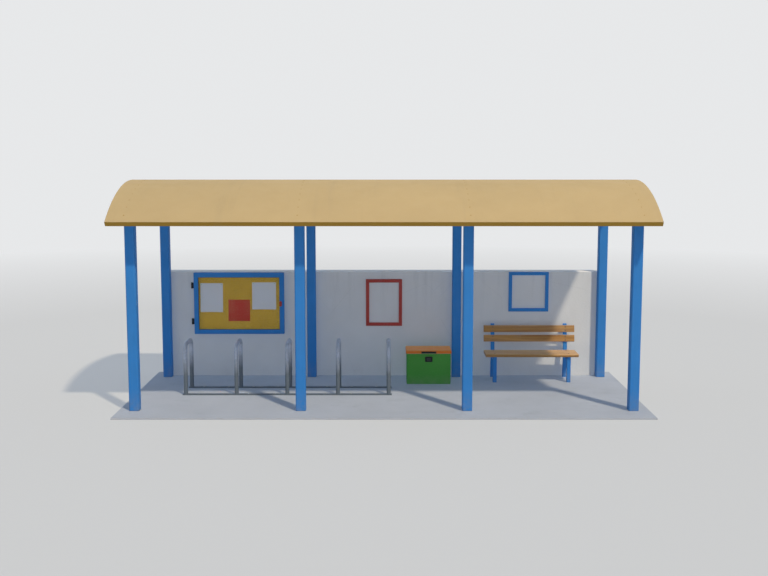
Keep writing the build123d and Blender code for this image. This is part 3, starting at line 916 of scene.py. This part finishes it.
leg_spots = [
    spot(hoop_x + number * hoop_pitch, leg_y, leg_foot, upward)
    for number in range(hoop_count) for leg_y in (leg_front, leg_rear)
]
weld_width = 2 * (hoop_radius + weld_gap)
bead_rows(
    "hoop_foot_welds", leg_spots, weld_width, weld_width, 0.004, tube_steel, "hoop_steel",
    Corner_Radius=hoop_radius + weld_gap, Corner_Steps=10, Unevenness=0.003, Ripple_Scale=150.0)

rail_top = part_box("floor_rails")[1].z
rail_spots = []
for rail_y in (leg_front, leg_rear):
    for step in range(hoop_count - 1):
        for share in rail_bolt_shares:
            rail_spots.append(spot(hoop_x + (step + share) * hoop_pitch, rail_y, rail_top, upward))
fixings(
    "rail_anchor_bolts", rail_spots, (0.0095, 0.007, 0.0012), (0.014, 0.0025), bolt_zinc,
    seed=4)

# Posts

foot_spots, head_spots = [], []
for row in ("front", "rear"):
    for number in range(1, post_count + 1):
        low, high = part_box(f"{row}_post_{number}")
        post_x = (low.x + high.x) / 2
        post_y = (low.y + high.y) / 2
        foot_spots.append(spot(post_x, post_y, low.z + mortar_lift, upward))
        head_spots.append(spot(post_x, post_y, high.z, upward))
post_side = high.x - low.x
mortar_width = post_side - 2 * mortar_inset
# Mortar beads round the post feet, dark enough to paint the shaded line there
bead_rows(
    "post_foot_mortar", foot_spots, mortar_width, mortar_width, 0.0035, mortar, "concrete",
    Corner_Radius=post_bevel, Unevenness=0.003)
beam_low, beam_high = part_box("front_eave_beam")
bead_rows(
    "post_head_welds", head_spots, post_side - 2 * head_weld_inset, beam_high.y - beam_low.y, 0.0035,
    blue_posts, "blue_steel", Corner_Radius=head_weld_inset, Unevenness=0.002, Ripple_Scale=160.0)

# Roof fixings

beam_y = box_middle("rear_eave_beam").y
rib_top_radius = roof_radius - roof_thickness
rib_sides, screw_spots = [], []
for number in range(1, post_count + 1):
    low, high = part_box(f"roof_rib_{number}")
    for row in (-1, 1):
        for step in (-1, 1):
            across = row * (beam_y + step * cleat_bolt_spread)
            level = roof_centre + (rib_top_radius**2 - across**2) ** 0.5 - cleat_bolt_drop
            rib_sides.append(spot(low.x, across, level, Vector((-1, 0, 0))))
            rib_sides.append(spot(high.x, across, level, Vector((1, 0, 0))))
        for step in range(roof_screw_count):
            angle = radians(first_screw_degrees + screw_step_degrees * step)
            out = Vector((0, row * sin(angle), cos(angle)))
            middle = Vector(((low.x + high.x) / 2, 0, roof_centre))
            screw_spots.append((middle + out * (roof_radius - hairline), out))
fixings("rib_cleat_bolts", rib_sides, (0.008, 0.006, 0.001), (0.012, 0.002), bolt_zinc, seed=7)
fixings(
    "roof_screws", screw_spots, (0.0055, 0.0015, 0.0012), (0.0085, 0.0012), screw_ochre,
    sides=14, seed=2)

# Notice case

case_low, case_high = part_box("notice_case")
glass_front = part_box("case_door_glass")[0].y
board_low, board_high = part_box("pin_board")
case_middle = (case_low + case_high) / 2
case_wide = case_high.x - case_low.x
case_tall = case_high.z - case_low.z
gasket_spot = [spot(case_middle.x, case_low.y - gasket_lift, case_middle.z, out_front)]
bead_rows(
    "case_gasket", gasket_spot, case_wide - case_rim, case_tall - case_rim, 0.0028, rubber_seal,
    "black_steel", Corner_Radius=0.006)
glazing_spot = [spot(case_middle.x, glass_front - glazing_lift, case_middle.z, out_front)]
glazing_edge = 2 * (door_bar + glazing_inset)
bead_rows(
    "glazing_seal", glazing_spot, case_wide - glazing_edge, case_tall - glazing_edge, 0.0024,
    rubber_seal, "black_steel", "notice_case_door", Corner_Radius=0.004)


def loft(name, rings, finish, body, smooth=40):
    """Closed skin through rings of equal length, each a list of points."""
    count = len(rings[0])
    faces = [tuple(range(count)), tuple(range((len(rings) - 1) * count, len(rings) * count))]
    for ring in range(len(rings) - 1):
        for step in range(count):
            after = (step + 1) % count
            first = ring * count
            faces.append((first + step, first + after, first + count + after, first + count + step))
    mesh = new_mesh(name, [point for ring in rings for point in ring], faces=faces)
    shape = bmesh.new()
    shape.from_mesh(mesh)
    bmesh.ops.recalc_face_normals(shape, faces=shape.faces)
    shape.to_mesh(mesh)
    shape.free()
    return settle(name, mesh, finish, body, smooth)


def rounded_outline(middle, half_wide, half_tall, radius, depth, steps=8):
    """Rounded rectangle in a plane that faces the front."""
    points = []
    for corner, (side, level) in enumerate(((1, 1), (-1, 1), (-1, -1), (1, -1))):
        for step in range(steps + 1):
            angle = (corner + step / steps) * pi / 2
            points.append((
                middle.x + side * (half_wide - radius) + radius * cos(angle), depth,
                middle.z + level * (half_tall - radius) + radius * sin(angle)))
    return points


# Oval pull with a waisted neck and a rolled rim. Each ring: share of its half size, share of its reach
knob_low, knob_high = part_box("case_door_knob")
knob_middle = (knob_low + knob_high) / 2
knob_wide = (knob_high.x - knob_low.x) / 2
knob_tall = (knob_high.z - knob_low.z) / 2
knob_reach = knob_high.y - knob_low.y
knob_profile = [
    (0.66, 0.0), (0.57, 0.06), (0.54, 0.20), (0.54, 0.40), (0.62, 0.50), (0.80, 0.54), (0.93, 0.58)]
neck_share, neck_end = knob_profile[-1]
rim_swings = [step / rim_steps * pi / 2 for step in range(1, rim_steps + 1)]
for swing in rim_swings:
    knob_profile.append((neck_share + rim_swell * sin(swing), neck_end + rim_rise * (1 - cos(swing))))
for swing in rim_swings:
    knob_profile.append((1.0 - face_drop * (1 - cos(swing)), face_start + face_rise * sin(swing)))
knob_rings = []
for share, along in knob_profile:
    inset = (1 - share) * knob_wide
    knob_rings.append(rounded_outline(
        knob_middle, knob_wide - inset, knob_tall - inset, knob_wide - inset - 0.0001,
        knob_high.y - along * knob_reach))
pull = loft("door_pull", knob_rings, red_knob, "notice_case_door", 60)
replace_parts(pull, "case_door_knob")


def paper_sheets(name, sheets, finish, node, columns=12, rows=16):
    """Sheets pinned along the top, whose lower corners curl a little off the board."""
    points, faces = [], []
    for across, up, wide, tall, curl in sheets:
        start = len(points)
        for layer in (0.0, sheet_thickness):
            for row in range(rows + 1):
                for column in range(columns + 1):
                    right = column / columns - 0.5
                    rise = row / rows - 0.5
                    sag = max(0.0, curl_from - rise) ** 2 * (curl_middle + (2 * abs(right)) ** curl_power)
                    buckle = buckle_depth * (1 + sin(buckle_across * right + buckle_up * rise)) * (0.5 - rise)
                    points.append((
                        board_middle.x + across + right * wide,
                        board_low.y - hairline - layer - curl * sag - buckle,
                        board_middle.z + up + rise * tall))
        stride = columns + 1
        layer_size = stride * (rows + 1)
        for row in range(rows):
            for column in range(columns):
                back = start + row * stride + column
                front = back + layer_size
                faces.append((back, back + stride, back + stride + 1, back + 1))
                faces.append((front, front + 1, front + stride + 1, front + stride))
        rim = [row * stride for row in range(rows)]
        rim += [rows * stride + column for column in range(columns)]
        rim += [row * stride + columns for row in range(rows, 0, -1)]
        rim += list(range(columns, 0, -1))
        for here, there in zip(rim, rim[1:] + rim[:1]):
            faces.append((start + here, start + layer_size + here, start + layer_size + there, start + there))
    mesh = new_mesh(name, points, faces=faces)
    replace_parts(settle(name, mesh, finish, "shelter", 40), node)


board_middle = (board_low + board_high) / 2
paper_sheets("notice_papers", pale_sheets, white_paper, "pale_notices")
paper_sheets("red_paper_sheet", red_sheets, red_paper, "red_notice")


def pins_for(sheets):
    """Pins just inside the top corners of each sheet."""
    spots = []
    for across, up, wide, tall, _ in sheets:
        for side in (-1, 1):
            right = across + side * (wide / 2 - pin_inset)
            rise = up + tall / 2 - pin_inset
            out = -board_thickness / 2 - pin_lift
            spots.append((board_middle + Vector((right, out, rise)), out_front))
    return spots


pin_head = (0.0045, 0.005, 0.0015)
pin_neck = (0.0028, 0.004)
fixings("paper_pins", pins_for(pale_sheets), pin_head, pin_neck, pin_green, sides=14)
fixings("red_sheet_pins", pins_for(red_sheets), pin_head, pin_neck, pin_red, sides=14)

# Poster frames

for name, paint in (("red_poster_frame", red_frame_paint), ("blue_poster_frame", blue_frame_paint)):
    frame_screws = []
    low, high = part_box(name)
    inset = frame_bar / 2
    for share_x in frame_screw_shares:
        for share_z in frame_screw_shares:
            if (share_x, share_z) != (0.5, 0.5):
                screw_x = low.x + inset + share_x * (high.x - low.x - 2 * inset)
                screw_z = low.z + inset + share_z * (high.z - low.z - 2 * inset)
                frame_screws.append(spot(screw_x, low.y, screw_z, out_front))
    fixings(
        f"{name}_screws", frame_screws, (0.0045, 0.0012, 0.0010), (0.006, 0.0006), paint, sides=14,
        seed=3)

# Bench fixings

seat_low, seat_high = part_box("bench_seat_board")
lean_up = Vector((0, sin(back_lean), cos(back_lean)))
lean_out = Vector((0, -cos(back_lean), sin(back_lean)))
slat_bolts, seat_bolts = [], []
for name in ("bench_left_frame", "bench_right_frame"):
    frame_x = box_middle(name).x
    for middle in slat_middles:
        slat_y = seat_high.y + slat_gap + (middle - seat_low.z) * sin(back_lean) / cos(back_lean)
        face = Vector((frame_x, slat_y, middle)) + lean_out * (slat_thickness + hairline)
        for step in (-1, 1):
            slat_bolts.append((face + lean_up * step * slat_bolt_offset, lean_out))
    for share in seat_bolt_shares:
        bolt_y = seat_low.y + share * (seat_high.y - seat_low.y)
        seat_bolts.append(spot(frame_x, bolt_y, seat_high.z, upward))
fixings(
    "bench_coach_bolts", slat_bolts + seat_bolts, (0.0085, 0.0012, 0.0022), (0.010, 0.0006), bolt_dull,
    sides=16, seed=9)

# Chest fittings

latch_low, latch_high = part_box("chest_latch")
latch_middle = (latch_low + latch_high) / 2
catch_profile = ((0.0, 0.0), (0.0, 0.0025), (0.0010, 0.0040), (0.0028, 0.0048), (0.0060, 0.0042))
catch_face = latch_low.y - catch_profile[-1][1]
catch_rings = []
for inset, along in catch_profile:
    catch_rings.append(rounded_outline(
        latch_middle, catch_half_wide - inset, catch_half_tall - inset, 0.005, latch_low.y - along))
loft("latch_catch", catch_rings, catch_grey, "shelter")
latch_spots = []
for side in (-1, 1):
    for level in (-1, 1):
        screw_x = latch_middle.x + side * (latch_high.x - latch_low.x) * latch_screw_across
        screw_z = latch_middle.z + level * (latch_high.z - latch_low.z) * latch_screw_up
        latch_spots.append(spot(screw_x, latch_low.y, screw_z, out_front))
fixings(
    "latch_screws", latch_spots, (0.0032, 0.0008, 0.0006), (0.0040, 0.0005), fittings_black,
    sides=12, seed=5)
body_low, body_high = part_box("chest_body")
body_middle = (body_low + body_high) / 2
seal_spot = [spot(body_middle.x, body_middle.y, body_high.z + seal_radius, upward)]
bead_rows(
    "chest_rim_seal", seal_spot, body_high.x - body_low.x - seal_inset, body_high.y - body_low.y - seal_inset,
    seal_radius, seal_pale, "black_steel", Corner_Radius=0.010, Step=0.02)
lock_spot = [spot(latch_middle.x, catch_face, latch_middle.z, out_front)]
fixings(
    "latch_lock", lock_spot, (0.0060, 0.0012, 0.0008), (0.0075, 0.0008), fittings_black, sides=20,
    seed=6)

# Camera, lamps, floor


def studio():
    """Camera, lamps and the world: an even backdrop for the camera, a faint fill for the rest."""
    scene = bpy.context.scene
    scene.view_settings.view_transform = "Standard"
    camera = new_object("camera", bpy.data.cameras.new("camera"))
    camera.data.lens = camera_lens
    camera.location = camera_place
    camera.rotation_euler = (pi / 2 - camera_tilt, 0.0, 0.0)
    scene.camera = camera

    add_lamp("key_light", sun_strength, sun_towards, sun_tint, sun_width, True)
    for name, strength, towards, colour in soft_lamps:
        add_lamp(name, strength, towards, colour, soft_width, False)

    world = bpy.data.worlds.new("studio")
    scene.world = world
    world.use_nodes = True
    begin(world.node_tree)
    tree.nodes.clear()
    fill = result("ShaderNodeBackground", {"Color": fill_tint})
    seen = result("ShaderNodeBackground", {"Color": backdrop_grey})
    either = result("ShaderNodeMixShader", {0: seen_directly(), 1: fill, 2: seen})
    add_node("ShaderNodeOutputWorld", {0: either})


def add_lamp(name, strength, towards, colour, width, shadow):
    """Distant lamp. The soft ones give an even light everywhere, without shadows or highlights."""
    lamp = new_object(name, bpy.data.lights.new(name, "SUN"))
    lamp.data.energy = strength
    lamp.data.angle = width
    lamp.data.color = colour
    lamp.data.use_shadow = shadow
    lamp.data.cycles.use_multiple_importance_sampling = shadow
    lamp.visible_glossy = shadow
    lamp.rotation_euler = Vector(towards).to_track_quat("Z", "Y").to_euler()


def seen_directly():
    """1 for rays from the camera and for reflected or transmitted ones."""
    rays = add_node("ShaderNodeLightPath").outputs
    total = maths("ADD", rays["Is Camera Ray"], rays["Is Glossy Ray"])
    return maths("ADD", total, rays["Is Transmission Ray"], True)


def studio_floor():
    """Pale floor that fades into the backdrop far out."""
    material = finish_of(new_finish("floor_finish"), floor_grey, floor_roughness)
    lit = tree.nodes["Principled BSDF"].outputs[0]
    out = add_node("ShaderNodeVectorMath", {0: object_place()}, operation="LENGTH").outputs["Value"]
    share = times(span(out, *floor_fade, floor_lift, 1.0), seen_directly())
    glow = result("ShaderNodeEmission", {"Color": backdrop_grey})
    both = result("ShaderNodeMixShader", {0: share, 1: lit, 2: glow})
    tree.links.new(both, tree.nodes["Material Output"].inputs[0])
    corners = [(x * floor_reach, y * floor_reach, 0) for x, y in ((-1, -1), (1, -1), (1, 1), (-1, 1))]
    mesh = new_mesh("studio_floor", corners, faces=[(0, 1, 2, 3)])
    mesh.materials.append(material)
    floor = new_object("studio_floor", mesh)


studio()
studio_floor()
